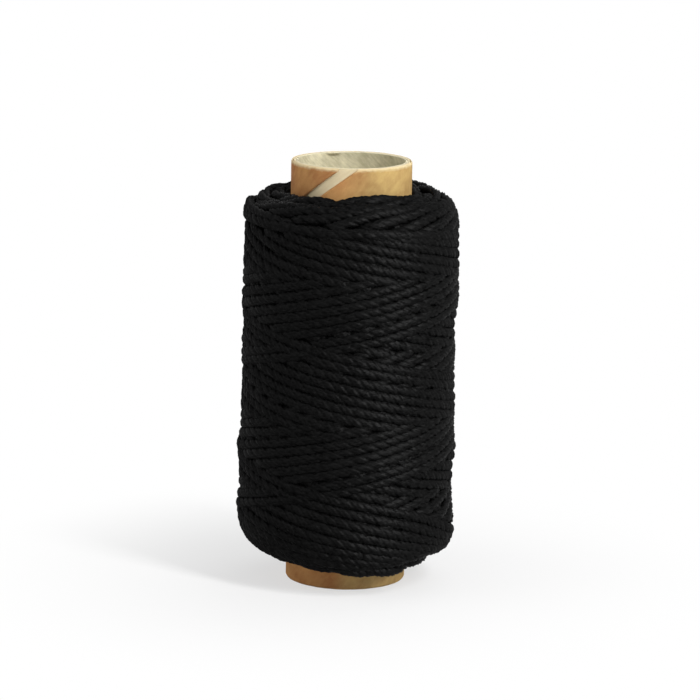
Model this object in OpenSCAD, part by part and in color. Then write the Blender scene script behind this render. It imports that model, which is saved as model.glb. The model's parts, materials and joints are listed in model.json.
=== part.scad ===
// Waxed thread spool: a three-ply paper tube with cross-wound waxed thread.
// The tube stands on z = 0 with its axis on Z. The front of the spool faces -Y. Sizes are in mm.

/* [Paper tube] */
// Free bore of the tube
tube_bore = 12.7; // [11:0.1:14]
// Cut length of the tube
tube_length = 50.6; // [49.6:0.1:60]
// Thickness of one paper ply
ply_thickness = 0.25; // [0.2:0.01:0.3]
// Glue film between two plies
glue_film = 0.025; // [0.02:0.005:0.04]

/* [Outer ply seam] */
// Slope of the seam above the horizontal, in degrees
seam_slope = 36; // [32:1:42]
// Width of the open seam, square to its edges
seam_width = 1.2; // [0.6:0.05:1.6]
// Where the seam meets the foot of the tube, in degrees around the axis
seam_foot_angle = 71; // [0:1:359]

/* [Thread] */
// Thickness of the waxed thread
thread_diameter = 1.05; // [0.8:0.05:1.1]
// Radius over the outermost turns
winding_radius = 12.9; // [12.5:0.1:14]
// Free height between the core and the turns over it
core_clearance = 0.05; // [0.05:0.01:0.1]
// Free gap between the core and the tube it is wound on
tube_clearance = 0.05; // [0.05:0.01:0.1]

/* [Outer layer of turns] */
// Loops of the outer layer
loops = 22; // [16:1:22]
// Step from loop to loop, along the wound surface
lay_step = 2; // [1.94:0.02:2.06]
// Height of a falling band and a rising band together
band_height = 17.4; // [17:0.2:19]
// Height of the middle of the lowest rising band
rising_band_height = 17.2; // [16:0.2:18]
// How far a loop in the middle of a band rises at the side
band_tilt = 1; // [0:0.05:1]
// Length over which the tilt fades out at the ends
tilt_fade = 6; // [6:0.5:8]
// Where the thread starts and ends, in degrees around the axis
end_angle = 90; // [0:1:359]
// Radius of the bend where an end goes down into the core
end_bend = 1.1; // [1:0.1:1.3]
// Free room around an end in its pocket
pocket_clearance = 0.15; // [0.15:0.01:0.25]

/* [Shoulders] */
// Bare tube below the winding
bare_foot = 2.4; // [2:0.1:3]
// Bare tube above the winding
bare_head = 3.1; // [2.6:0.1:3.8]
// Height of the lower rounded shoulder
foot_shoulder = 5.2; // [4.8:0.1:5.6]
// Height of the upper rounded shoulder
head_shoulder = 4; // [3.8:0.1:4.6]

/* [Hidden] */

bore_radius = tube_bore / 2;
inner_ply_out = bore_radius + ply_thickness;
middle_ply_in = inner_ply_out + glue_film;
middle_ply_out = middle_ply_in + ply_thickness;
outer_ply_in = middle_ply_out + glue_film;
outer_ply_out = outer_ply_in + ply_thickness;

seam_lead = 2 * PI * outer_ply_out * tan(seam_slope);
seam_height = seam_width / cos(seam_slope);

thread_radius = thread_diameter / 2;
lay_lift = thread_radius + core_clearance;
lay_radius = winding_radius - thread_radius;
core_radius = lay_radius - lay_lift;
core_bore = outer_ply_out + tube_clearance;
core_wall = core_radius - core_bore;

foot_top = bare_foot + foot_shoulder;
head_low = tube_length - bare_head - head_shoulder;
side_length = head_low - foot_top;
lay_wide = core_wall + lay_lift;
foot_tall = foot_shoulder + lay_lift;
head_tall = head_shoulder + lay_lift;
foot_mean = (lay_wide + foot_tall) / 2;
head_mean = (lay_wide + head_tall) / 2;

lay_length = loops * lay_step;
lay_start = (side_length - lay_length) / 2;
rings_per_loop = 24;
ring_sides = 6;
bend_steps = 3;

round_sides = 96;
shoulder_steps = 8;
seam_steps_per_turn = 36;
cut_over = 1;
seam_overrun = 2;
pocket_floor_gap = 0.02;

colour_liner = "#b9b09c";
colour_middle = "#d9c8a4";
colour_kraft = "#c2925e";
colour_thread = "#242426";
colour_core = "#1b1b1d";

// The wound surface is measured along its outline: 0 is where the lower shoulder ends,
// side_length is where the upper one starts, and the shoulders run on as quarter ellipses.
function degrees(arc) = arc * 180 / PI;
function lay_reach(run) =
    run < 0
    ? core_bore + lay_wide * cos(degrees(-run / foot_mean))
    : run > side_length
    ? core_bore + lay_wide * cos(degrees((run - side_length) / head_mean))
    : lay_radius;
function lay_height(run) =
    run < 0
    ? foot_top - foot_tall * sin(degrees(-run / foot_mean))
    : run > side_length
    ? head_low + head_tall * sin(degrees((run - side_length) / head_mean))
    : foot_top + run;

// The loops fall to the right in one band of the front and rise in the next.
function limit(value) = max(0, min(1, value));
function fade(run) = limit((run - lay_start) / tilt_fade) * limit((lay_start + lay_length - run) / tilt_fade);
function band_part(run) = (foot_top + run - rising_band_height) / band_height;
function even_wave(part) = 4 * abs(part - floor(part) - 0.5) - 1;
function tilt(run) = band_tilt * fade(run) * even_wave(band_part(run));
function lay_run(turn) =
    let (middle = lay_start + lay_step * turn)
    middle + tilt(middle) * cos(360 * turn + end_angle);
function thread_point(turn) =
    let (run = lay_run(turn))
    let (angle = 360 * turn + end_angle)
    [lay_reach(run) * cos(angle), lay_reach(run) * sin(angle), lay_height(run)];

// Each end bends inward and runs straight for one thread diameter, square to its pocket's floor.
function unit(v) = v / norm(v);
function inward(p) = -unit([p[0], p[1], 0]);
function level_along(p, q) = unit((q - p) - ((q - p) * inward(p)) * inward(p));
function end_dive(p, along) = [
    for (i = [1 : bend_steps + 1])
        i <= bend_steps
        ? p + along * end_bend * sin(90 * i / bend_steps)
            + inward(p) * end_bend * (1 - cos(90 * i / bend_steps))
        : p + along * end_bend + inward(p) * (end_bend + thread_diameter)
];
function reversed(list) = [for (i = [len(list) - 1 : -1 : 0]) list[i]];

lay_points = [for (i = [0 : loops * rings_per_loop]) thread_point(i / rings_per_loop)];
last_lay = len(lay_points) - 1;
start_end = end_dive(lay_points[0], -level_along(lay_points[0], lay_points[1]));
finish_end = end_dive(lay_points[last_lay], level_along(lay_points[last_lay - 1], lay_points[last_lay]));
thread_points = concat(reversed(start_end), lay_points, finish_end);
last_point = len(thread_points) - 1;

// Least gap of the thread to itself, over points on the middle line and between them.
parts_per_ring = 3;
fine_points = [
    for (i = [0 : last_point - 1], part = [0 : parts_per_ring - 1])
        thread_points[i] + (thread_points[i + 1] - thread_points[i]) * part / parts_per_ring
];
own_reach = rings_per_loop;
search_reach = 5 * rings_per_loop;
function least_gap() = min([
    for (i = [0 : len(fine_points) - own_reach - 1])
        min([
            for (j = [i + own_reach : min(i + search_reach, len(fine_points) - 1)])
                norm(fine_points[i] - fine_points[j])
        ])
]) - thread_diameter;

module tube_sleeve(inside, outside) {
    difference() {
        cylinder(r = outside, h = tube_length, $fn = round_sides);
        translate([0, 0, -cut_over])
            cylinder(r = inside, h = tube_length + 2 * cut_over, $fn = round_sides);
    }
}

module seam_cut() {
    seam_steps = ceil(seam_steps_per_turn * (tube_length + 2 * seam_overrun) / seam_lead);
    inside = outer_ply_in - ply_thickness;
    outside = outer_ply_out + ply_thickness;
    corners = [
        for (i = [0 : seam_steps])
            let (height = (tube_length + 2 * seam_overrun) * i / seam_steps - seam_overrun)
            let (angle = seam_foot_angle + 360 * height / seam_lead)
            for (side = [[inside, -0.5], [outside, -0.5], [outside, 0.5], [inside, 0.5]])
                [side[0] * cos(angle), side[0] * sin(angle), height + side[1] * seam_height]
    ];
    walls = [
        for (i = [0 : seam_steps - 1], k = [0 : 3], half = [0 : 1])
            half == 0
            ? [4 * i + k, 4 * i + (k + 1) % 4, 4 * i + 4 + k]
            : [4 * i + (k + 1) % 4, 4 * i + 4 + (k + 1) % 4, 4 * i + 4 + k]
    ];
    last = 4 * seam_steps;
    ends = [[2, 1, 0], [3, 2, 0], [last, last + 1, last + 2], [last, last + 2, last + 3]];
    polyhedron(points = corners, faces = concat(walls, ends), convexity = 10);
}

module tube_inner_ply() {
    color(colour_liner) tube_sleeve(bore_radius, inner_ply_out);
}

module tube_middle_ply() {
    color(colour_middle) tube_sleeve(middle_ply_in, middle_ply_out);
}

module tube_outer_ply() {
    color(colour_kraft) difference() {
        tube_sleeve(outer_ply_in, outer_ply_out);
        seam_cut();
    }
}

// Room in the core for one end of the thread. The bend comes in on the side given by lay_side.
module end_pocket(p, lay_side) {
    angle = atan2(p[1], p[0]);
    floor_reach = norm([p[0], p[1]]);
    half_width = thread_radius + pocket_clearance;
    long_side = end_bend + pocket_clearance;
    near_side = lay_side < 0 ? -long_side : -half_width;
    rotate([0, 0, angle])
        translate([floor_reach - pocket_floor_gap, near_side, p[2] - half_width])
            cube([core_wall + cut_over, long_side + half_width, 2 * half_width]);
}

module thread_core() {
    foot_arc = [
        for (i = [0 : shoulder_steps])
            let (turn = 90 * i / shoulder_steps)
            [core_bore + core_wall * sin(turn), foot_top - foot_shoulder * cos(turn)]
    ];
    head_arc = [
        for (i = [0 : shoulder_steps])
            let (turn = 90 * i / shoulder_steps)
            [core_bore + core_wall * cos(turn), head_low + head_shoulder * sin(turn)]
    ];
    color(colour_core) difference() {
        rotate_extrude($fn = round_sides) polygon(concat(foot_arc, head_arc));
        end_pocket(thread_points[0], 1);
        end_pocket(thread_points[last_point], -1);
    }
}

module thread_winding() {
    rings = [
        for (i = [0 : last_point])
            let (along = unit(thread_points[min(i + 1, last_point)] - thread_points[max(i - 1, 0)]))
            let (up = unit([0, 0, 1] - along * along[2]))
            let (side = cross(along, up))
            for (k = [0 : ring_sides - 1])
                thread_points[i]
                    + thread_radius * cos(360 * k / ring_sides) * side
                    + thread_radius * sin(360 * k / ring_sides) * up
    ];
    walls = [
        for (i = [0 : last_point - 1], k = [0 : ring_sides - 1], half = [0 : 1])
            let (here = ring_sides * i)
            let (next = (k + 1) % ring_sides)
            half == 0
            ? [here + k, here + ring_sides + k, here + next]
            : [here + next, here + ring_sides + k, here + ring_sides + next]
    ];
    last = ring_sides * last_point;
    start_cap = [for (k = [1 : ring_sides - 2]) [0, k, k + 1]];
    finish_cap = [for (k = [1 : ring_sides - 2]) [last, last + k + 1, last + k]];
    echo(least_gap_of_thread_mm = least_gap(), loops = loops);
    color(colour_thread)
        polyhedron(points = rings, faces = concat(walls, start_cap, finish_cap), convexity = 20);
}

tube_inner_ply();
tube_middle_ply();
tube_outer_ply();
thread_core();
thread_winding();
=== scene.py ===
# %% [markdown]
# A spool of black waxed thread, as used for sewing leather. It is a paper tube with about fourteen
# metres of twisted thread wound on it in crossing layers. The sizes come from the CAD model, so the
# lesson starts by loading that model as a frame, in metres. The thread and the paper are worked out
# in millimetres, because their details are far smaller than a metre, and turned into metres at the end.

# %% Load the frame
import json
import math

import bpy
import numpy as np
from mathutils import Matrix, Vector


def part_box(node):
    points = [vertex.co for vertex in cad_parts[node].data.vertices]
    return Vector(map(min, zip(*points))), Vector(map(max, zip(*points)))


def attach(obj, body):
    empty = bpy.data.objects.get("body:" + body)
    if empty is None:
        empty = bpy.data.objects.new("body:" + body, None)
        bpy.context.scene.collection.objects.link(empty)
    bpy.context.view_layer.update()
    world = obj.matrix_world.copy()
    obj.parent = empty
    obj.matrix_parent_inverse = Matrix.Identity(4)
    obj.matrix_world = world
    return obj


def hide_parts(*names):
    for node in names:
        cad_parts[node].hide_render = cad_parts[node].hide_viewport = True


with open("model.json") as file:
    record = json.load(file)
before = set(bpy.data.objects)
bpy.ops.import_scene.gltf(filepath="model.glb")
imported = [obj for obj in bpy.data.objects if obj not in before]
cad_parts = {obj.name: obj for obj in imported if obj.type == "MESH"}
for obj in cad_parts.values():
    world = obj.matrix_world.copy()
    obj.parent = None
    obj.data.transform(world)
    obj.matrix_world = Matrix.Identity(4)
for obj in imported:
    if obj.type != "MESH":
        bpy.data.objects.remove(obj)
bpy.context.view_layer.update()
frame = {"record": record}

MM = 0.001
tube_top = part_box("tube_outer_ply")[1]
core_low, core_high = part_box("thread_core")
TUBE_LENGTH = tube_top.z / MM
TUBE_RADIUS = tube_top.x / MM
print(f"tube {TUBE_LENGTH:.1f} mm long, {2 * TUBE_RADIUS:.1f} mm across")

# %% [markdown]
# The photograph looks slightly down on the spool from a good distance, so its upright edges stay
# nearly parallel and the open end shows as a flat ellipse. A long lens from far away gives that.
# The small shift moves the picture in its frame without turning the view, and the small roll leans
# the spool's head to the right, as it leans in the photograph.

# %% Set the camera
VIEW_ELEVATION = math.radians(12.0)
VIEW_DISTANCE = 0.436
VIEW_ROLL = math.radians(0.97)
SENSOR = 36.0
LENS = 187.8
NEAREST_SEEN = 0.01
PHOTO_SIDE = 700
AIM_PIXEL = (348.3, 369.5)

camera = bpy.data.objects.new("camera", bpy.data.cameras.new("camera"))
bpy.context.scene.collection.objects.link(camera)
bpy.context.scene.camera = camera
camera.data.sensor_width = SENSOR
camera.data.lens = LENS
camera.data.clip_start = NEAREST_SEEN
camera.data.shift_x = (PHOTO_SIDE / 2 - AIM_PIXEL[0]) / PHOTO_SIDE
camera.data.shift_y = (AIM_PIXEL[1] - PHOTO_SIDE / 2) / PHOTO_SIDE

aim = Vector((0, 0, tube_top.z / 2))
away = Vector((0, -math.cos(VIEW_ELEVATION), math.sin(VIEW_ELEVATION)))
turned = (-away).to_track_quat("-Z", "Y").to_matrix() @ Matrix.Rotation(VIEW_ROLL, 3, "Z")
camera.matrix_world = Matrix.Translation(aim + away * VIEW_DISTANCE) @ turned.to_4x4()
print(f"camera at {tuple(round(c, 3) for c in camera.location)} m, lens {LENS} mm")

# %% [markdown]
# Every finish in Blender is a graph of shader nodes. The graphs could be wired line by line, but a few
# helpers keep them readable: each one makes a node, joins what it is given, and hands back the result.

# %% Write the first node helpers


def new_material(name):
    material = bpy.data.materials.new(name)
    material.use_nodes = True
    material.node_tree.nodes.clear()
    return material, material.node_tree.nodes, material.node_tree.links


def combine(nodes, links, operation, *values):
    node = nodes.new("ShaderNodeMath")
    node.operation = operation
    for socket, value in zip(node.inputs, values):
        if isinstance(value, (int, float)):
            socket.default_value = value
        else:
            links.new(value, socket)
    return node.outputs[0]


def between(nodes, links, value, low, high, start=0.0, stop=1.0):
    node = nodes.new("ShaderNodeMapRange")
    node.inputs["From Min"].default_value = low
    node.inputs["From Max"].default_value = high
    node.inputs["To Min"].default_value = start
    node.inputs["To Max"].default_value = stop
    links.new(value, node.inputs["Value"])
    return node.outputs["Result"]


def mix_shaders(nodes, links, share, first, second):
    node = nodes.new("ShaderNodeMixShader")
    links.new(share, node.inputs["Fac"])
    links.new(first.outputs[0], node.inputs[1])
    links.new(second.outputs[0], node.inputs[2])
    return node.outputs[0]


def seen_directly(nodes, links):
    path = nodes.new("ShaderNodeLightPath").outputs
    mirrored = combine(nodes, links, "MAXIMUM", path["Is Camera Ray"], path["Is Glossy Ray"])
    return combine(nodes, links, "MAXIMUM", mirrored, path["Is Transmission Ray"])


print("first node helpers ready")

# %% [markdown]
# The photograph has a plain white ground. The floor is white and takes the spool's shadow close by.
# Farther out it turns into pure white for the camera and for reflections, by its distance from the
# spool. That could also be done with brighter lamps, but those would bleach the paper.

# %% Lay the floor
FLOOR_SIDE = 6.0
FLOOR_PAINT = (0.8, 0.8, 0.8, 1)
PURE_WHITE = (1, 1, 1, 1)
SHADOW_REACH = (0.012, 0.05)
SHADOW_VEIL = 0.6

half_side = FLOOR_SIDE / 2
corners = [(x * half_side, y * half_side, 0) for x, y in ((-1, -1), (1, -1), (1, 1), (-1, 1))]
floor_mesh = bpy.data.meshes.new("floor")
floor_mesh.from_pydata(corners, [], [(0, 1, 2, 3)])
floor = bpy.data.objects.new("floor", floor_mesh)
bpy.context.scene.collection.objects.link(floor)

floor_white, nodes, links = new_material("floor_white")
paint = nodes.new("ShaderNodeBsdfDiffuse")
paint.inputs["Color"].default_value = FLOOR_PAINT
white = nodes.new("ShaderNodeEmission")
white.inputs["Color"].default_value = PURE_WHITE
white.inputs["Strength"].default_value = 1.0
distance = nodes.new("ShaderNodeVectorMath")
distance.operation = "LENGTH"
links.new(nodes.new("ShaderNodeTexCoord").outputs["Object"], distance.inputs[0])
fade = between(nodes, links, distance.outputs["Value"], *SHADOW_REACH, SHADOW_VEIL)
fade.node.interpolation_type = "SMOOTHSTEP"
white_share = combine(nodes, links, "MULTIPLY", fade, seen_directly(nodes, links))
floor_mix = mix_shaders(nodes, links, white_share, paint, white)
links.new(floor_mix, nodes.new("ShaderNodeOutputMaterial").inputs["Surface"])
floor.data.materials.append(floor_white)
print(f"floor {FLOOR_SIDE:.0f} m wide, white from {SHADOW_REACH[1]} m outward")

# %% [markdown]
# A soft studio has one strong lamp and pale walls. In the photograph the right side of the tube is the
# bright one, and inside the tube it is the left wall, so the strong lamp stands on the right, in front
# and above. Black thread shows little more than reflections, so a second, broader box stands lower on
# the same side and draws the gleam on the wax. It is hidden from matt surfaces, or it would bleach the
# paper. A weak lamp on the left keeps the other side readable, and one behind lights the back.

# %% Hang the lamps


def softbox(name, azimuth, elevation, distance, width, tall, power):
    lamp = bpy.data.objects.new(name, bpy.data.lights.new(name, "AREA"))
    bpy.context.scene.collection.objects.link(lamp)
    lamp.data.shape = "RECTANGLE"
    lamp.data.size = width
    lamp.data.size_y = tall
    lamp.data.energy = power
    turn, rise = math.radians(azimuth), math.radians(elevation)
    out = Vector((math.sin(turn) * math.cos(rise), -math.cos(turn) * math.cos(rise), math.sin(rise)))
    lamp.location = aim + out * distance
    lamp.rotation_euler = (-out).to_track_quat("-Z", "Y").to_euler()
    return lamp


softbox("key_lamp", azimuth=46, elevation=38, distance=0.6, width=0.1, tall=0.4, power=3.5)
gleam = softbox("gleam_lamp", azimuth=46, elevation=13, distance=0.6, width=0.2, tall=0.4, power=13.0)
gleam.visible_diffuse = False
softbox("fill_lamp", azimuth=-80, elevation=25, distance=0.7, width=0.5, tall=0.5, power=1.1)
softbox("back_lamp", azimuth=150, elevation=50, distance=0.7, width=0.5, tall=0.5, power=0.9)
print("four lamps hung")

# %% [markdown]
# The world stands for the walls. They give a weak light from all round, but the camera and the
# reflections see them as white, like the floor. The Standard view keeps colours as they are written.

# %% Paint the walls
WALL_LIGHT = 0.4

world = bpy.data.worlds.new("studio")
bpy.context.scene.world = world
world.use_nodes = True
nodes, links = world.node_tree.nodes, world.node_tree.links
nodes.clear()
walls = nodes.new("ShaderNodeBackground")
walls.inputs["Color"].default_value = PURE_WHITE
walls.inputs["Strength"].default_value = WALL_LIGHT
ground = nodes.new("ShaderNodeBackground")
ground.inputs["Color"].default_value = PURE_WHITE
ground.inputs["Strength"].default_value = 1.0
world_mix = mix_shaders(nodes, links, seen_directly(nodes, links), walls, ground)
links.new(world_mix, nodes.new("ShaderNodeOutputWorld").inputs["Surface"])
bpy.context.scene.view_settings.view_transform = "Standard"
print(f"walls give {WALL_LIGHT} of a white sky")

# %% [markdown]
# The thread is wound by a machine that turns the tube at a steady rate while a guide runs up and down.
# What it fills has a straight side and two shoulders, each a rounded curve from the side to the tube.
# That outline could be a list of points. A power curve for each shoulder says the same in a few numbers,
# and it can be asked for the height at a radius as well as for the radius at a height.

# %% Draw the outline of the winding
WOUND_RADIUS = 12.83
HEAD_SINK = 0.2
HEAD_SHOULDER = 4.05
HEAD_ROUNDING = 2.3
FOOT_DROP = 0.06
FOOT_SHOULDER = 5.34
FOOT_ROUNDING = 3.6
OUTLINE_POINTS = 400
HEAD_TURN = core_high.z / MM - HEAD_SINK
HEAD_SIDE = HEAD_TURN - HEAD_SHOULDER
FOOT_TURN = core_low.z / MM - FOOT_DROP
FOOT_SIDE = FOOT_TURN + FOOT_SHOULDER


def outward_share(radius):
    return np.clip((radius - TUBE_RADIUS) / (WOUND_RADIUS - TUBE_RADIUS), 0, 1)


def head_outline(radius):
    return HEAD_SIDE + (HEAD_TURN - HEAD_SIDE) * np.sqrt(1 - outward_share(radius) ** HEAD_ROUNDING)


def foot_outline(radius):
    return FOOT_SIDE - (FOOT_SIDE - FOOT_TURN) * np.sqrt(1 - outward_share(radius) ** FOOT_ROUNDING)


def outline_radius(height):
    radii = np.linspace(TUBE_RADIUS, WOUND_RADIUS, OUTLINE_POINTS)
    at_head = np.interp(-height, -head_outline(radii), radii)
    at_foot = np.interp(height, foot_outline(radii), radii)
    return np.minimum(at_head, at_foot)


print(f"winding from {FOOT_TURN:.1f} to {HEAD_TURN:.1f} mm, {2 * WOUND_RADIUS:.1f} mm across")

# %% [markdown]
# One run of the guide from end to end is a stroke. It climbs at a steady rate and turns back in a bend.
# Early layers turn back close to the end of the winding. Later ones turn back sooner, where the rounded
# shoulder under them falls away, which is what makes the shoulder round. A corner would be simpler, but
# no thread takes one, so the bend is a parabola that leaves the straight run without a kink. Bends are
# measured in turns, and everything else in millimetres.

# %% Shape the bends
THREAD = 1.05
HALF = THREAD / 2
BEND_SEAT = 0.9 * HALF
BEND_LIMITS = (0.05, 0.4)
BEND_WANDER = 0.025
TOP_SKIN = 0.15
random_lay = np.random.default_rng(5)


def bend(run, half_width):
    return np.where(run < half_width, (run * run + half_width * half_width) / (2 * half_width), run)


def next_bend(level, rising, head, foot, climb):
    level = min(level, WOUND_RADIUS - TOP_SKIN)
    if rising:
        room = head - (head_outline(level) - BEND_SEAT)
    else:
        room = foot_outline(level) + BEND_SEAT - foot
    wander = random_lay.uniform(-BEND_WANDER, BEND_WANDER)
    return np.clip(2 * room / climb + wander, *BEND_LIMITS)


print(f"a bend reaches {BEND_LIMITS[0]} to {BEND_LIMITS[1]} turns to each side")

# %% [markdown]
# A stroke takes a little more than two and a half turns, so every new stroke lies just beside the one
# before the last, and the strokes cross in bands that show as chevrons all round the spool. No hand or
# guide is quite steady, so each stroke also wanders a little. The wander is noise that has been softened,
# because a thread under pull can't jitter.

# %% Draw one stroke
STROKE_TURNS = 2.535
HEAD_OVERRUN = 0.3
HEAD_RETREAT = 0.7
FOOT_SHORTFALL = 0.16
FOOT_RETREAT = 0.9
SIDE_WANDER = 0.09
SIDE_WANDER_LENGTH = 40
STROKE_WANDER = 0.12


def soften(values, width):
    reach = int(3 * width)
    weights = np.exp(-0.5 * (np.arange(-reach, reach + 1) / width) ** 2)
    return np.convolve(np.pad(values, reach, mode="edge"), weights / weights.sum(), mode="valid")


def draw_stroke(turns, level, rising, bend_before):
    share = outward_share(level)
    head = HEAD_TURN + HEAD_OVERRUN - HEAD_RETREAT * share
    foot = FOOT_TURN + FOOT_SHORTFALL + FOOT_RETREAT * share
    climb = (head - foot) / STROKE_TURNS
    bend_after = next_bend(level, rising, head, foot, climb)
    run = np.where(
        turns < STROKE_TURNS / 2,
        bend(turns, bend_before),
        STROKE_TURNS - bend(STROKE_TURNS - turns, bend_after),
    )
    height = foot + climb * run if rising else head - climb * run
    wander = soften(random_lay.normal(0, 1, len(turns)), SIDE_WANDER_LENGTH)
    wander = wander / wander.std() * SIDE_WANDER + random_lay.normal(0, STROKE_WANDER)
    return height + wander * np.sin(np.pi * turns / STROKE_TURNS), climb, bend_after


print(f"a stroke makes {STROKE_TURNS} turns")

# %% [markdown]
# Where the thread lies on a crossing thread it is lifted, and because it is pulled tight it bridges the
# hollows in between. A map of the spool, one cell for each degree and each 0.15 mm of height, keeps how
# far out the thread has built up. Each stroke is laid on that map, pulled tight, and added to it. Pulling
# tight means that no point lies inside the straight line between two points some degrees before and
# behind it. A few such spans are tried again and again, until the thread stays where it is. Soft thread
# gives under the pull, so it is laid as if it were a little thinner than it is.

# %% Lay a stroke on the map
LAID_HALF = 0.48
CELL = 0.15
ROWS = int(TUBE_LENGTH / CELL) + 2
PULLS = 20
PULL_SPANS = (2, 5, 9, 14)
built_up = np.full((360, ROWS), TUBE_RADIUS)


def pull_tight(radius):
    for _ in range(PULLS):
        for step in PULL_SPANS:
            chord = radius.copy()
            curve = 1 / radius
            chord[step:-step] = 2 * math.cos(math.radians(step)) / (curve[: -2 * step] + curve[2 * step :])
            radius = np.maximum(radius, chord)
    return radius


def cells_under(height, half, slope):
    row = np.round(height / CELL).astype(int)
    flat = 1 / math.sqrt(1 + slope * slope)
    reach = int(math.ceil(half / CELL / flat))
    for step in range(-reach, reach + 1):
        across = ((row + step) * CELL - height) * flat
        inside = half * half - across * across
        yield np.clip(row + step, 0, ROWS - 1), inside > 0, np.sqrt(np.maximum(inside, 0))


def rest_on(heights_map, degree, height, slope):
    radius = np.zeros(len(height))
    for row, inside, rise in cells_under(height, LAID_HALF, slope):
        radius = np.where(inside, np.maximum(radius, heights_map[degree, row] + rise), radius)
    return radius


def add_to(heights_map, degree, radius, height, half, slope):
    for row, inside, rise in cells_under(height, half, slope):
        np.maximum.at(heights_map, (degree[inside], row[inside]), (radius + rise)[inside])


print(f"map of {built_up.shape[0]} by {built_up.shape[1]} cells")

# %% [markdown]
# Now the machine runs. The first stroke starts on the bare tube, at the angle that brings the last bend
# at the head to the front, where the photograph shows it. The level that a stroke lies at is read from
# the middle of the map, away from the shoulders.

# %% Run the machine
STROKES = 78
SAMPLES_PER_TURN = 360
LAST_HEAD_BEND = -104.0
FIRST_BEND = 0.1
LAY_SOFTNESS = 3
MIDDLE_ROWS = slice(int(15 / CELL), int(36 / CELL))
NESTING = 0.4

first_angle = LAST_HEAD_BEND - 360 * (STROKES - 1) * STROKE_TURNS
level = TUBE_RADIUS + HALF
bend_half = FIRST_BEND
laid = []
for stroke in range(STROKES):
    start = int(stroke * STROKE_TURNS * SAMPLES_PER_TURN)
    end = int((stroke + 1) * STROKE_TURNS * SAMPLES_PER_TURN)
    count = np.arange(start, end)
    turns = count / SAMPLES_PER_TURN - stroke * STROKE_TURNS
    height, climb, bend_half = draw_stroke(turns, level, stroke % 2 == 0, bend_half)
    slope = climb / (2 * math.pi * level)
    degree = np.round(first_angle + count).astype(int) % 360
    radius = soften(pull_tight(rest_on(built_up, degree, height, slope)), LAY_SOFTNESS)
    add_to(built_up, degree, radius, height, LAID_HALF, slope)
    laid.append(np.stack([first_angle + count, radius, height], 1))
    middle_level = built_up[:, MIDDLE_ROWS].mean()
    level = min(middle_level + NESTING * LAID_HALF, WOUND_RADIUS)
angle, radius, height = np.concatenate(laid).T
print(f"{STROKES} strokes laid, {len(angle)} points, mean radius {middle_level:.2f} mm")

# %% [markdown]
# On a real spool each new layer presses the ones below together and the soft threads nest, so the wound
# surface ends up almost flush. Instead of a slow simulation of soft thread, the turns that lie on top
# are brought to the outline of the photograph, with a small share of their hills and hollows, and with
# the bulges that its edges show, each a height, a half-width and a swelling. A turn that dives under
# another is pressed in by less than half of what hard threads would need.

# %% Press the layers flush
KEPT_HILLS = 0.1
HILL_SOFTNESS = (8, 6)
HILL_ROWS = slice(int(12 / CELL), int(38 / CELL))
HILL_LIMIT = 1.6
HILLS_BEGIN = (5, 9)
HILLS_END = (42, 46)
BULGES = ((8.8, 1.5, 0.4), (16.1, 1.8, 0.4), (30.6, 1.6, -0.25), (34.4, 1.8, 0.2))
PRESSED_SHARE = 0.3
LEAST_PILE = 0.3
DIVE_SOFTNESS = 2.5


def soften_map(values, around, upward):
    out = np.apply_along_axis(lambda line: soften(np.tile(line, 3), around)[360:720], 0, values)
    return np.apply_along_axis(lambda line: soften(line, upward), 1, out)


def ease(value, low, high):
    share = np.clip((value - low) / (high - low), 0, 1)
    return share * share * (3 - 2 * share)


row_height = np.arange(ROWS) * CELL
smooth_map = soften_map(built_up, *HILL_SOFTNESS)
hills = np.clip(smooth_map - smooth_map[:, HILL_ROWS].mean(), -HILL_LIMIT, HILL_LIMIT)
hill_share = KEPT_HILLS * ease(row_height, *HILLS_BEGIN) * (1 - ease(row_height, *HILLS_END))
bulges = sum(swell * np.exp(-(((row_height - middle) / width) ** 2)) for middle, width, swell in BULGES)
wanted = outline_radius(row_height) + hill_share * hills + bulges
degree = np.round(angle).astype(int) % 360
row = np.clip(np.round(height / CELL).astype(int), 0, ROWS - 1)
lowest = TUBE_RADIUS + HALF
on_top = wanted[degree, row] - HALF
piled_up = built_up[degree, row] - LAID_HALF
pile = np.maximum(piled_up - lowest, LEAST_PILE)
buried = np.minimum(soften(np.maximum(piled_up - radius, 0), DIVE_SOFTNESS), pile)
rest = on_top - lowest - PRESSED_SHARE * pile
flush = on_top - PRESSED_SHARE * buried - rest * (buried / pile) ** 2
print(f"radii pressed from {radius.max():.2f} to {flush.max():.2f} mm at most")

# %% [markdown]
# On the two shoulders the bends lie nearly level and heap up evenly. Pressing them flush turn by turn
# would crumple them, so there the whole heap is scaled to the outline instead, and smoothed more.

# %% Heap up the shoulders
HEAD_HEAP = (44.6, 46.4)
FOOT_HEAP = (3.2, 5.0)
LEAST_HEAP = 0.4
HEAP_SOFTNESS = 3
SHOULDER_SLACK = 0.35
TURN_SOFTNESS = 2
SHOULDER_SOFTNESS = 8

heap = np.maximum(soften(built_up.mean(0), HEAP_SOFTNESS) - LAID_HALF - lowest, LEAST_HEAP)
heap_wanted = np.maximum(outline_radius(row_height) - HALF - lowest, 0)
scaled = lowest + (radius - lowest) * (heap_wanted / heap)[row]
scaled = np.minimum(scaled, lowest + heap_wanted[row] + SHOULDER_SLACK)
on_shoulder = ease(height, *HEAD_HEAP) + 1 - ease(height, *FOOT_HEAP)
pressed = flush + (scaled - flush) * on_shoulder
pressed = soften(np.maximum(pressed, lowest), TURN_SOFTNESS)
pressed += (soften(pressed, SHOULDER_SOFTNESS) - pressed) * on_shoulder
print(f"{(on_shoulder > 0.5).mean():.0%} of the points lie on the shoulders")

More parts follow.
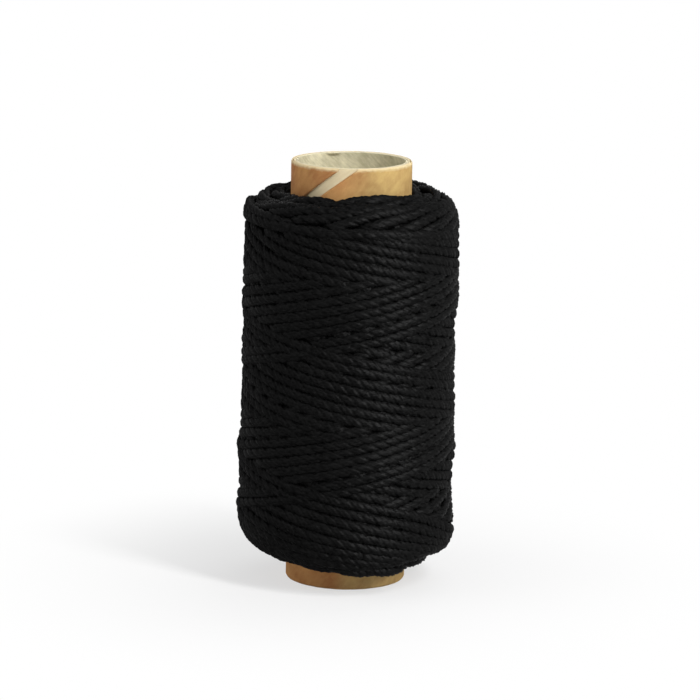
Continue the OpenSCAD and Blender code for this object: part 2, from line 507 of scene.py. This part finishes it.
# %% [markdown]
# No machine winds both ends quite level. In the photograph the lower edge of the winding climbs to the
# left, and the upper edge sags at the left, has a small notch in front, and rises beside it. The turns
# near each end are shifted up or down by that much, less and less towards the middle of the spool. The
# rims, where the shoulders meet the side, are shifted apart from the edges in the same way. Each place
# is an angle, a width in degrees and a shift in millimetres. The whole winding also leans a little.

# %% Lean the two edges
HEAD_EDGE = (
    (172, 34, -0.5),
    (-164, 16, -0.4),
    (-102, 9, -0.33),
    (-74, 13, 0.28),
    (-40, 11, 0.2),
    (4, 22, -0.35),
)
HEAD_RIM = ((180, 40, 1.5),)
FOOT_EDGE = ((-175, 62, 1.92), (-62, 26, -0.7), (-20, 40, 0.98))
FOOT_RIM = ((0, 45, -2.0), (180, 50, -0.3))
EDGE_REACH = 6.0
RIM_REACH = 4.5
RIM_TURNS = (0.6, 0.95)
WOUND_LEAN = 0.2
LEANING_TURNS = (0.4, 0.8)


def edge_shift(places):
    total = np.zeros(len(angle))
    for middle_angle, width, shift in places:
        off = (angle - middle_angle + 180) % 360 - 180
        total += shift * np.exp(-((off / width) ** 2))
    return total


outer_share = ease(outward_share(pressed), *LEANING_TURNS)
rise = 2 * height / (FOOT_TURN + HEAD_TURN) - 1
pressed = pressed + WOUND_LEAN * rise * np.cos(np.radians(angle)) * outer_share
rim_share = ease(outward_share(pressed), *RIM_TURNS)
near_head = ease(height, HEAD_TURN - EDGE_REACH, HEAD_TURN)
on_head_rim = ease(height, HEAD_SIDE - RIM_REACH, HEAD_SIDE) * rim_share
near_foot = 1 - ease(height, FOOT_TURN, FOOT_TURN + EDGE_REACH)
on_foot_rim = (1 - ease(height, FOOT_SIDE, FOOT_SIDE + RIM_REACH)) * rim_share
height = height + edge_shift(HEAD_EDGE) * near_head + edge_shift(HEAD_RIM) * on_head_rim
height = height + edge_shift(FOOT_EDGE) * near_foot + edge_shift(FOOT_RIM) * on_foot_rim
print(f"winding now from {height.min() - HALF:.1f} to {height.max() + HALF:.1f} mm")

# %% [markdown]
# A spool is sold with its loose end secured. Here it is tucked under the turns beside it, low down on
# the back: over its last degrees the thread dives in and slips up under its neighbour.

# %% Tuck the end under
TUCK_TURN = 40
TUCK_DEPTH = 1.7
TUCK_RISE = 0.5
tail = ease(np.arange(len(angle)), len(angle) - TUCK_TURN, len(angle) - 1)
pressed = pressed - TUCK_DEPTH * tail
height = height + TUCK_RISE * tail
turn_angle = np.radians(angle)
line = np.stack([pressed * np.cos(turn_angle), pressed * np.sin(turn_angle), height], 1)
steps = np.linalg.norm(np.diff(line, axis=0), axis=1)
along = np.concatenate([[0], np.cumsum(steps)])
print(f"thread length {along[-1] / 1000:.2f} m")

# %% [markdown]
# Most of the thread is buried. The twist of the thread is modelled where it can be seen, and the buried
# turns get a plain, coarse tube, which saves much of the mesh. A point counts as seen where nothing
# lies well above its sides or its crown, looking from the side, and on the shoulders also from the end.

# %% Find what shows
SEEN_DEPTH = 0.3
SEEN_SPREAD = 8
SIDE_OFFSET = 0.42


def shows(outward, sideways):
    cover = np.full((360, ROWS), -TUBE_LENGTH)
    add_to(cover, degree, outward, sideways, HALF, 0.0)
    found = np.zeros(len(outward), bool)
    for offset in (-SIDE_OFFSET, 0, SIDE_OFFSET):
        beside = np.clip(np.round((sideways + offset) / CELL).astype(int), 0, ROWS - 1)
        crown = outward + math.sqrt(HALF * HALF - offset * offset)
        found |= cover[degree, beside] < crown + SEEN_DEPTH
    return found


from_aside = shows(pressed, height)
from_above = shows(height, pressed) & (height > HEAD_SIDE)
from_below = shows(-height, pressed) & (height < FOOT_SIDE)
seen = from_aside | from_above | from_below
seen = np.convolve(seen, np.ones(2 * SEEN_SPREAD + 1), mode="same") > 0
print(f"{(steps * seen[1:]).sum() / 1000:.2f} m of thread show")

# %% [markdown]
# The thread becomes a tube of rings. They stand close together where the thread shows and far apart
# where it is buried. Each ring is turned a little against the one before, which gives the twist, and as
# no twist is even, it is a little tighter here and slacker there.

# %% Place the rings
RING_STEP = 0.42
BURIED_STEP = 1.4
SHOW_SOFTNESS = 6
TWIST_LENGTH = 4.3
TWIST_WANDER = 0.5
TWIST_SOFTNESS = 20
random_yarn = np.random.default_rng(7)

show = np.clip(2 * soften(seen.astype(float), SHOW_SOFTNESS), 0, 1)
spacing = BURIED_STEP + (RING_STEP - BURIED_STEP) * show
ring_count = np.concatenate([[0], np.cumsum(steps / (0.5 * (spacing[1:] + spacing[:-1])))])
at = np.interp(np.arange(int(ring_count[-1]) + 1), ring_count, along)
ring_line = np.stack([np.interp(at, along, line[:, axis]) for axis in range(3)], 1)
ring_show = np.interp(at, along, show)
twist_step = np.diff(at, prepend=0) * 2 * math.pi / TWIST_LENGTH
twist = np.cumsum(np.where(ring_show > 0.5, twist_step, 0))
twist_wander = soften(random_yarn.normal(0, 1, len(at)), TWIST_SOFTNESS)
twist += TWIST_WANDER * twist_wander / twist_wander.std()
print(f"{len(at)} rings placed")

# %% [markdown]
# The thread has three strands laid together with a Z twist: they climb like the middle stroke of a Z.
# Each strand is two yarns, which show as two crests with a shallow groove between them. A round tube
# with a bump pattern would look like wire, so each ring of the mesh has these crests and grooves, and
# because the rings turn along the thread, the same points of all rings follow the yarns. Each yarn
# swells and thins a little, and the whole thread is flattened by its neighbours.

# %% Shape the rings
STRANDS = 3
STRAND_SHAPE = (0.405, 0.49, 0.535, 0.48, 0.535, 0.49)
RING_POINTS = STRANDS * len(STRAND_SHAPE)
YARN_SWELL = 0.04
SWELL_SOFTNESS = 2.5
FLATTENED = (0.92, 1.3)


def unit(vectors):
    return vectors / np.linalg.norm(vectors, axis=1, keepdims=True)


forward = unit(np.gradient(ring_line, axis=0))
outward = unit(ring_line * np.array([1, 1, 0]))
outward = unit(outward - forward * (outward * forward).sum(1, keepdims=True))
sideways = np.cross(forward, outward)
turn = twist[:, None] + 2 * math.pi * np.arange(RING_POINTS) / RING_POINTS
swell = [soften(random_yarn.normal(0, 1, len(at)), SWELL_SOFTNESS) for _ in range(RING_POINTS)]
swell = np.stack(swell, 1)
lobe = np.tile(STRAND_SHAPE, STRANDS) * (1 + YARN_SWELL * swell / swell.std())
across = (FLATTENED[0] * lobe * np.cos(turn))[:, :, None] * outward[:, None, :]
beside = (FLATTENED[1] * lobe * np.sin(turn))[:, :, None] * sideways[:, None, :]
rings = ring_line[:, None, :] + across + beside
print(f"{rings.shape[0]} rings of {rings.shape[1]} points")

# %% [markdown]
# The rings become a mesh: four-sided faces from ring to ring and a cap at each end. The points and faces
# are whole arrays, so they are handed to Blender in one go, which is much faster than adding them one by
# one.

# %% Write the mesh helpers


def add_uv(mesh, name, values):
    layer = mesh.uv_layers.new(name=name)
    layer.data.foreach_set("uv", np.asarray(values, np.float32).ravel())


def mesh_from(name, points, faces):
    mesh = bpy.data.meshes.new(name)
    mesh.vertices.add(len(points))
    mesh.vertices.foreach_set("co", (points * MM).astype(np.float32).ravel())
    mesh.loops.add(faces.size)
    mesh.loops.foreach_set("vertex_index", faces.astype(np.int32).ravel())
    mesh.polygons.add(len(faces))
    mesh.polygons.foreach_set("loop_start", np.arange(0, faces.size, faces.shape[1], dtype=np.int32))
    mesh.polygons.foreach_set("use_smooth", np.ones(len(faces), bool))
    mesh.update(calc_edges=True)
    return mesh


print("mesh helpers ready")

# %% [markdown]
# A UV map says where each face lies on a flat sheet. The thread gets two. One is in millimetres, along the
# thread and around it from its outer side, so fibres drawn on it keep their size and its seam stays on
# the buried side. The other lays the thread out in rows without overlaps, which baking needs.

# %% Lay the thread out flat
BAKE_ROWS = 36
BAKE_MARGIN = 0.04


def fibre_map(ring, point):
    turned = twist[ring] + 2 * math.pi * (point + 0.5) / RING_POINTS
    middle = (turned + math.pi) % (2 * math.pi) - math.pi
    edge = math.pi / RING_POINTS
    onward = twist[ring + 1] - twist[ring]
    around = np.stack([middle - edge, middle + edge, middle + edge + onward, middle - edge + onward], 1)
    place = np.stack([at[ring]] * 2 + [at[ring + 1]] * 2, 1)
    return np.stack([around * HALF, place], 2).reshape(-1, 2)


def bake_map(ring, point, count):
    per_row = math.ceil(count / BAKE_ROWS)
    bake_row = ring // per_row + BAKE_MARGIN
    row_part = (1 - 2 * BAKE_MARGIN) / RING_POINTS
    left = (ring % per_row) / per_row
    right = (ring % per_row + 1) / per_row
    low = (bake_row + row_part * point) / BAKE_ROWS
    high = (bake_row + row_part * (point + 1)) / BAKE_ROWS
    return np.stack([left, low, left, high, right, high, right, low], 1).reshape(-1, 2)


print(f"{BAKE_ROWS} rows for baking")

# %% [markdown]
# A stretch of thread is a closed skin over a run of rings. A bevelled curve could make it too, but that
# gives every ring the same section. Each point also keeps how far out it is on its strand, because the
# colour puts wax bloom on the crowns of the yarns and leaves the grooves dark as painted shade.

# %% Skin a stretch of thread
# one value per point of a strand: 1 on the yarn crowns, 0 in the deep groove; it pales the crowns with wax
# bloom and paints the grooves darker as shade
CROWN_BLOOM_AND_GROOVE_SHADE = (0.0, 0.6, 1.0, 0.3, 1.0, 0.6)


def thread_stretch(name, first, last):
    count = last - first
    ring, point = np.meshgrid(np.arange(count - 1), np.arange(RING_POINTS), indexing="ij")
    ring, point = ring.ravel(), point.ravel()
    after = (point + 1) % RING_POINTS
    here, there = ring * RING_POINTS, (ring + 1) * RING_POINTS
    faces = np.stack([here + point, here + after, there + after, there + point], 1)
    cap = np.arange(RING_POINTS // 2 - 1)
    caps = np.stack([cap, RING_POINTS - 1 - cap, RING_POINTS - 2 - cap, cap + 1], 1)
    far_caps = caps[:, ::-1] + (count - 1) * RING_POINTS
    mesh = mesh_from(name, rings[first:last].reshape(-1, 3), np.concatenate([faces, caps, far_caps]))
    crown = mesh.attributes.new("crown", "FLOAT", "POINT")
    crown.data.foreach_set("value", np.tile(CROWN_BLOOM_AND_GROOVE_SHADE, STRANDS * count).astype(np.float32))
    no_cap = np.zeros((2 * caps.size, 2))
    add_uv(mesh, "fibre", np.concatenate([fibre_map(first + ring, point), no_cap]))
    add_uv(mesh, "OFBake", np.concatenate([bake_map(ring, point, count), no_cap]))
    piece = bpy.data.objects.new(name, mesh)
    bpy.context.scene.collection.objects.link(piece)
    return piece


print(f"a ring has {RING_POINTS} points")

# %% [markdown]
# The whole thread has far more faces than one mesh should carry, so it is cut into stretches of equal
# length in rings, the buried layers first. Each one ends in the ring that the next one starts with, so
# no gap shows. The first stands for the buried core, and the others for the outer layer.

# %% Cut the thread into stretches
RINGS_PER_PIECE = 5300

pieces = math.ceil(len(rings) / RINGS_PER_PIECE)
cuts = np.linspace(0, len(rings) - 1, pieces + 1).astype(int)
thread_pieces = []
for number in range(pieces):
    piece = thread_stretch(f"thread_stretch_{number + 1}", cuts[number], cuts[number + 1] + 1)
    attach(piece, "root")
    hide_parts("thread_core" if number == 0 else "thread_winding")
    thread_pieces.append(piece)
print(f"{pieces} stretches of thread")

# %% [markdown]
# A finish starts from a pattern. Fibres, clouds and flecks are all noise here, and what tells them apart
# is the space that the noise is drawn in: a UV map or the object's own space, plain or stretched.

# %% Write the pattern helpers


def uv_of(nodes, name):
    node = nodes.new("ShaderNodeUVMap")
    node.uv_map = name
    return node.outputs["UV"]


def noise(nodes, links, vector, scale, detail=2.0, roughness=0.5):
    node = nodes.new("ShaderNodeTexNoise")
    node.inputs["Scale"].default_value = scale
    node.inputs["Detail"].default_value = detail
    node.inputs["Roughness"].default_value = roughness
    links.new(vector, node.inputs["Vector"])
    return node.outputs["Fac"]


def stretched(nodes, links, vector, scale):
    node = nodes.new("ShaderNodeMapping")
    node.inputs["Scale"].default_value = scale
    links.new(vector, node.inputs["Vector"])
    return node.outputs["Vector"]


print("pattern helpers ready")

# %% [markdown]
# The patterns then become colour, bump and shine. A ramp turns a value into a colour, a blend lays one
# colour over another, and everything ends in one surface shader.

# %% Write the finish helpers


def ramp(nodes, links, value, low, high, start, stop):
    node = nodes.new("ShaderNodeValToRGB")
    node.color_ramp.elements[0].position = low
    node.color_ramp.elements[0].color = (*start, 1)
    node.color_ramp.elements[1].position = high
    node.color_ramp.elements[1].color = (*stop, 1)
    links.new(value, node.inputs["Fac"])
    return node.outputs["Color"]


def blend_colours(nodes, links, share, below, above):
    node = nodes.new("ShaderNodeMix")
    node.data_type = "RGBA"
    links.new(share, node.inputs["Factor"])
    links.new(below, node.inputs["A"])
    if isinstance(above, tuple):
        node.inputs["B"].default_value = (*above, 1)
    else:
        links.new(above, node.inputs["B"])
    return node.outputs["Result"]


def bump(nodes, links, height, strength, depth):
    node = nodes.new("ShaderNodeBump")
    node.inputs["Strength"].default_value = strength
    node.inputs["Distance"].default_value = depth * MM
    links.new(height, node.inputs["Height"])
    return node.outputs["Normal"]


def surface(nodes, links, colour, roughness, normal, gloss):
    shader = nodes.new("ShaderNodeBsdfPrincipled")
    shader.inputs["Specular IOR Level"].default_value = gloss
    links.new(colour, shader.inputs["Base Color"])
    links.new(roughness, shader.inputs["Roughness"])
    links.new(normal, shader.inputs["Normal"])
    links.new(shader.outputs[0], nodes.new("ShaderNodeOutputMaterial").inputs["Surface"])


print("finish helpers ready")

# %% [markdown]
# Waxed black thread is dark and slightly shiny. A faint grey wax bloom is drawn on the crowns of the yarns
# and none in the grooves, so the grooves are darker: partly the wax and partly painted shade. The fibres
# run along the thread as fine lines, and short flecks of them stand out and break up the shine, which
# keeps the thread from looking like wire. Fibres and flecks are noises on the UV map in millimetres,
# stretched along the thread and used for colour and bump, and the bloom is a larger noise in space.

# %% Wax the thread
FIBRE_GRAIN = (14, 1.1, 1)
FLECK_GRAIN = (4.5, 1.6, 1)
FLECK_SPREAD = (0.35, 0.65)
DARK_FIBRE = (0.0012, 0.0012, 0.0012)
PALE_FIBRE = (0.0080, 0.0080, 0.0080)
BLOOMS_PER_METRE = 420
BLOOM_SPREAD = (0.4, 0.75)
BLOOM_SHARE = (0.15, 0.8)
SHINE_SPREAD = (0.3, 0.7)
WAX_ROUGHNESS = (0.33, 0.45)
FIBRE_BUMP = 0.4
FUZZ_STRENGTH = 0.7
FUZZ_DEPTH = 0.1
WAX_GLOSS = 0.016

waxed_thread, nodes, links = new_material("waxed_thread")
fibre_uv = uv_of(nodes, "fibre")
fibres = noise(nodes, links, stretched(nodes, links, fibre_uv, FIBRE_GRAIN), 1.0, detail=3)
flecks = noise(nodes, links, stretched(nodes, links, fibre_uv, FLECK_GRAIN), 1.0, detail=2, roughness=0.6)
place = nodes.new("ShaderNodeTexCoord").outputs["Object"]
bloom = noise(nodes, links, place, BLOOMS_PER_METRE, detail=3)
crown = nodes.new("ShaderNodeAttribute")
crown.attribute_name = "crown"
bloom_share = between(nodes, links, bloom, *BLOOM_SPREAD, *BLOOM_SHARE)
# the bloom falls only on the crowns, so the grooves keep the dark tone as painted shade
bloom_and_groove_shade = combine(nodes, links, "MULTIPLY", bloom_share, crown.outputs["Fac"])
colour = ramp(nodes, links, flecks, *FLECK_SPREAD, DARK_FIBRE, PALE_FIBRE)
colour = blend_colours(nodes, links, bloom_and_groove_shade, colour, PALE_FIBRE)
roughness = between(nodes, links, bloom, *SHINE_SPREAD, *WAX_ROUGHNESS)
fuzz = combine(nodes, links, "MULTIPLY_ADD", fibres, FIBRE_BUMP, flecks)
surface(nodes, links, colour, roughness, bump(nodes, links, fuzz, FUZZ_STRENGTH, FUZZ_DEPTH), WAX_GLOSS)
for piece in thread_pieces:
    piece.data.materials.append(waxed_thread)
print(f"{len(thread_pieces)} stretches waxed")

# %% [markdown]
# The tube is made on a mandrel: strips of paper are wound on as helices, one over the other, with glue,
# and the long tube is sawn into lengths. So each ply is a strip with a slanting seam, and its ends are
# pointed where the saw crossed it. A plain pipe with a painted seam would look flat, so the strip is
# planned that way here: one column for each few degrees, from its lower edge to its upper edge, cut off
# at the two ends of the tube, where the saw wandered a little.

# %% Plan a paper strip
SEAM_SLOPE = math.radians(36)
SEAM_RISE = 2 * math.pi * TUBE_RADIUS * math.tan(SEAM_SLOPE)
COLUMN_STEP = 2.5
STRIP_ROWS = 34
STRIP_TIP = 0.3
EDGE_SHARE = 0.2
CUT_WANDER = 0.05
HEAD_WAVES = (3, 7, 13, 29, 61)
FOOT_WAVES = (2, 5, 17, 37)
random_paper = np.random.default_rng(11)


def wavy(angles, waves):
    phases = random_paper.uniform(0, 2 * math.pi, len(waves))
    total = sum(np.sin(np.radians(angles) * wave + phase) for wave, phase in zip(waves, phases))
    return total / len(waves)


def strip_columns(seam_at_foot, gap):
    low = seam_at_foot - 360 * (SEAM_RISE - gap / 2 - STRIP_TIP) / SEAM_RISE
    high = seam_at_foot + 360 * (TUBE_LENGTH - gap / 2 - STRIP_TIP) / SEAM_RISE
    return np.linspace(low, high, int((high - low) / COLUMN_STEP))


def strip_rows(columns, seam, gap, rounding):
    head_cut = TUBE_LENGTH - CUT_WANDER * (1 + wavy(columns, HEAD_WAVES)) / 2
    foot_cut = CUT_WANDER * (1 + wavy(columns, FOOT_WAVES)) / 2
    low = np.maximum(foot_cut, seam + gap / 2)
    high = np.minimum(head_cut, seam + SEAM_RISE - gap / 2)
    edge = np.minimum(rounding, EDGE_SHARE * (high - low))
    climb = ease(np.linspace(0, 1, STRIP_ROWS - 2), 0, 1)
    inside = (low + edge)[:, None] + (high - low - 2 * edge)[:, None] * climb
    return np.concatenate([low[:, None], inside, high[:, None]], 1)


print(f"seam rises {SEAM_RISE:.1f} mm a turn")

# %% [markdown]
# The columns become a thin closed sheet: an outer face, an inner face, and narrow faces along the two edges
# and the two tips. A Solidify modifier could thicken a single face, but its edges would stay sharp. The UV
# map is the strip laid flat, in millimetres, so that the streaks of the paper run along the strip as they
# do on real paper.

# %% Build a paper strip
ROUND_SHARE = 0.45


def strip_faces(count):
    column, row = np.meshgrid(np.arange(count - 1), np.arange(STRIP_ROWS - 1), indexing="ij")
    here = (column * STRIP_ROWS + row).ravel()
    next_column = here + STRIP_ROWS
    back = count * STRIP_ROWS
    front = np.stack([here, next_column, next_column + 1, here + 1], 1)
    rear = front[:, ::-1] + back
    side = np.arange(count - 1) * STRIP_ROWS
    top = side + STRIP_ROWS - 1
    lower = np.stack([side, side + back, side + back + STRIP_ROWS, side + STRIP_ROWS], 1)
    upper = np.stack([top, top + STRIP_ROWS, top + STRIP_ROWS + back, top + back], 1)
    tip = np.arange(STRIP_ROWS - 1)
    last = tip + (count - 1) * STRIP_ROWS
    start = np.stack([tip, tip + 1, tip + 1 + back, tip + back], 1)
    finish = np.stack([last, last + back, last + back + 1, last + 1], 1)
    return np.concatenate([front, rear, lower, upper, start, finish])


def paper_strip(name, inner, outer, seam_at_foot, gap, rounding, lifted=None):
    columns = strip_columns(seam_at_foot, gap)
    seam = SEAM_RISE * (columns - seam_at_foot) / 360
    rows = strip_rows(columns, seam, gap, rounding)
    round_off = np.zeros(STRIP_ROWS)
    round_off[[0, -1]] = min(rounding, ROUND_SHARE * (outer - inner))
    shift = lifted(columns[:, None], rows) if lifted else np.zeros_like(rows)
    turn = np.radians(columns)[:, None]
    sides = []
    for radius in (outer - round_off, inner + round_off):
        reach = radius[None, :] - shift
        sides.append(np.stack([reach * np.cos(turn), reach * np.sin(turn), rows], 2).reshape(-1, 3))
    faces = strip_faces(len(columns))
    mesh = mesh_from(name, np.concatenate(sides), faces)
    along_strip = columns[:, None] * math.pi / 180 * outer / math.cos(SEAM_SLOPE)
    across_strip = (rows - seam[:, None]) * math.cos(SEAM_SLOPE)
    flat = np.stack(np.broadcast_arrays(along_strip, across_strip), 2).reshape(-1, 2)
    add_uv(mesh, "strip", np.concatenate([flat, flat])[faces.ravel()])
    piece = bpy.data.objects.new(name, mesh)
    bpy.context.scene.collection.objects.link(piece)
    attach(piece, "root")
    return piece


print(f"{STRIP_ROWS} points from edge to edge of a strip")

# %% [markdown]
# The outer strip is brown kraft paper and leaves an open seam, through which the cream middle strip
# shows. The middle and the inner strips are butted. Near the back of the head the inner strip has come
# a little loose from the others and stands in from them, which shows as a dark sliver.

# %% Make the three plies
MIDDLE_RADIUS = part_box("tube_middle_ply")[1].x / MM
LINER_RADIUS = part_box("tube_inner_ply")[1].x / MM
bore = next(mount for mount in frame["record"]["mounts"] if mount["name"] == "tube_bore")
BORE_RADIUS = bore["dims"]["r_mm"]
GLUE = 0.02
SEAM_WIDTH = 1.2
SEAM_GAP = SEAM_WIDTH / math.cos(SEAM_SLOPE)
SEAM_AT_FOOT = 71
MIDDLE_SEAM_AT_FOOT = 250
LINER_SEAM_AT_FOOT = 20
BUTTED = 0.04
KRAFT_ROUNDING = 0.2
MIDDLE_ROUNDING = 0.03
LINER_ROUNDING = 0.07
LOOSE_ANGLE = 110
LOOSE_WIDTH = 7
LOOSE_LENGTH = (0.12, 0.4)
LOOSE_DEPTH = 0.36


def loose_edge(angles, heights):
    off = (angles - LOOSE_ANGLE + 180) % 360 - 180
    near_end = 1 - ease(TUBE_LENGTH - heights, *LOOSE_LENGTH)
    return LOOSE_DEPTH * np.exp(-((off / LOOSE_WIDTH) ** 4)) * near_end


kraft_ply = paper_strip(
    "kraft_ply", MIDDLE_RADIUS + GLUE, TUBE_RADIUS, SEAM_AT_FOOT, SEAM_GAP, KRAFT_ROUNDING
)
middle_ply = paper_strip(
    "middle_ply", LINER_RADIUS + GLUE, MIDDLE_RADIUS, MIDDLE_SEAM_AT_FOOT, BUTTED, MIDDLE_ROUNDING
)
liner_ply = paper_strip(
    "liner_ply", BORE_RADIUS, LINER_RADIUS, LINER_SEAM_AT_FOOT, BUTTED, LINER_ROUNDING, loose_edge
)
for piece, node, slot in (
    (kraft_ply, "tube_outer_ply", "kraft_paper"),
    (middle_ply, "tube_middle_ply", "middle_paper"),
    (liner_ply, "tube_inner_ply", "liner_paper"),
):
    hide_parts(node)
print(f"three plies wound, bore {2 * BORE_RADIUS:.1f} mm")

# %% [markdown]
# Paper is not one colour all over. In the photograph the kraft paper is redder on its left side than on
# its right, so it takes a second pair of tones there, and the two meet in patches. The cut ends are pale
# and fuzzy, because the saw tears the fibres there, and the paleness wears into the wall a little way,
# less at the foot. Both are drawn by the place on the tube, with noise to break up the border.

# %% Redden one side and tear the ends
TONE_SPREAD = (0.36, 0.64)
PATCHES_PER_METRE = 240
WARM_PATCHES = 8.0
WARM_SIDE = (1.5, 6.5)
FOOT_WEAR = 0.25
TEARS_PER_METRE = 1900
TEAR_SHARE = 0.9
TORN_SPREAD = (0.7, 1.35)


def warmed(nodes, links, place, across, pulp, colour, warm_tones):
    warm = ramp(nodes, links, pulp, *TONE_SPREAD, *warm_tones)
    patches = noise(nodes, links, place, PATCHES_PER_METRE, detail=2)
    lean = combine(nodes, links, "MULTIPLY_ADD", patches, WARM_PATCHES * MM, across)
    cool_share = between(nodes, links, lean, WARM_SIDE[0] * MM, WARM_SIDE[1] * MM)
    return blend_colours(nodes, links, cool_share, warm, colour)


def torn_share(nodes, links, place, height, wear):
    at_head = between(nodes, links, height, (TUBE_LENGTH - wear) * MM, TUBE_LENGTH * MM)
    at_foot = between(nodes, links, height, FOOT_WEAR * wear * MM, 0.0)
    near_cut = combine(nodes, links, "MAXIMUM", at_head, at_foot)
    tears = noise(nodes, links, place, TEARS_PER_METRE, detail=3)
    torn = combine(nodes, links, "MULTIPLY_ADD", tears, TEAR_SHARE, near_cut)
    return between(nodes, links, torn, *TORN_SPREAD)


print(f"tears reach {FOOT_WEAR} as far at the foot as at the head")

# %% [markdown]
# All three papers are the same kind of stuff: short fibres in no order, streaks along the strip, and
# clouds where the pulp lay thicker. One function makes such a paper from two tones. Fine specks give its
# face a tooth, and it is matt, a little less where the clouds are thin.

# %% Make a paper
CLOUDS_PER_METRE = 330
CLOUD_SPREAD = (0.3, 0.7)
PAPER_ROUGHNESS = (0.72, 0.9)
SPECKS_PER_METRE = 5200
PAPER_GRAIN = 0.35
GRAIN_DEPTH = 0.03
PAPER_GLOSS = 0.08


def paper(name, tones, cut_colour, streak_grain, streak_share, wear, warm_tones=None):
    material, nodes, links = new_material(name)
    place = nodes.new("ShaderNodeTexCoord").outputs["Object"]
    axes = nodes.new("ShaderNodeSeparateXYZ")
    links.new(place, axes.inputs[0])
    clouds = noise(nodes, links, place, CLOUDS_PER_METRE, detail=4, roughness=0.6)
    along_strip = stretched(nodes, links, uv_of(nodes, "strip"), streak_grain)
    streaks = noise(nodes, links, along_strip, 1.0, detail=4, roughness=0.65)
    cloud_part = combine(nodes, links, "MULTIPLY", clouds, 1 - streak_share)
    pulp = combine(nodes, links, "MULTIPLY_ADD", streaks, streak_share, cloud_part)
    colour = ramp(nodes, links, pulp, *TONE_SPREAD, *tones)
    if warm_tones:
        colour = warmed(nodes, links, place, axes.outputs["X"], pulp, colour, warm_tones)
    torn = torn_share(nodes, links, place, axes.outputs["Z"], wear)
    colour = blend_colours(nodes, links, torn, colour, cut_colour)
    roughness = between(nodes, links, clouds, *CLOUD_SPREAD, *PAPER_ROUGHNESS)
    specks = noise(nodes, links, place, SPECKS_PER_METRE, detail=2)
    grain = bump(nodes, links, specks, PAPER_GRAIN, GRAIN_DEPTH)
    surface(nodes, links, colour, roughness, grain, PAPER_GLOSS)
    return material


print("paper recipe ready")

# %% [markdown]
# The outer paper is brown kraft, golden on one side and redder on the other. The middle one is cream,
# and the liner a mottled grey cream. Each gets a dark and a pale tone, the colour of its cut, the grain
# of its streaks, their share, and how far the cut wears in. All of these are read off the photograph,
# because a paper's colour can't be worked out.

# %% Colour the papers
KRAFT = ((0.365, 0.215, 0.075), (0.54, 0.37, 0.14))
WARM_KRAFT = ((0.37, 0.16, 0.058), (0.54, 0.285, 0.105))
KRAFT_CUT = (0.67, 0.55, 0.325)
CREAM = ((0.62, 0.51, 0.315), (0.74, 0.635, 0.42))
CREAM_CUT = (0.65, 0.565, 0.38)
LINER = ((0.41, 0.375, 0.245), (0.76, 0.70, 0.50))
LINER_CUT = (0.64, 0.585, 0.42)

kraft_paper = paper(
    "kraft_paper",
    KRAFT,
    KRAFT_CUT,
    streak_grain=(0.9, 1.6, 1),
    streak_share=0.35,
    wear=0.65,
    warm_tones=WARM_KRAFT,
)
middle_paper = paper(
    "middle_paper", CREAM, CREAM_CUT, streak_grain=(0.2, 1.6, 1), streak_share=0.5, wear=0.2
)
liner_paper = paper(
    "liner_paper", LINER, LINER_CUT, streak_grain=(0.6, 2.8, 1), streak_share=0.45, wear=0.2
)
for piece, material in ((kraft_ply, kraft_paper), (middle_ply, middle_paper), (liner_ply, liner_paper)):
    piece.data.materials.append(material)
print("papers coloured")
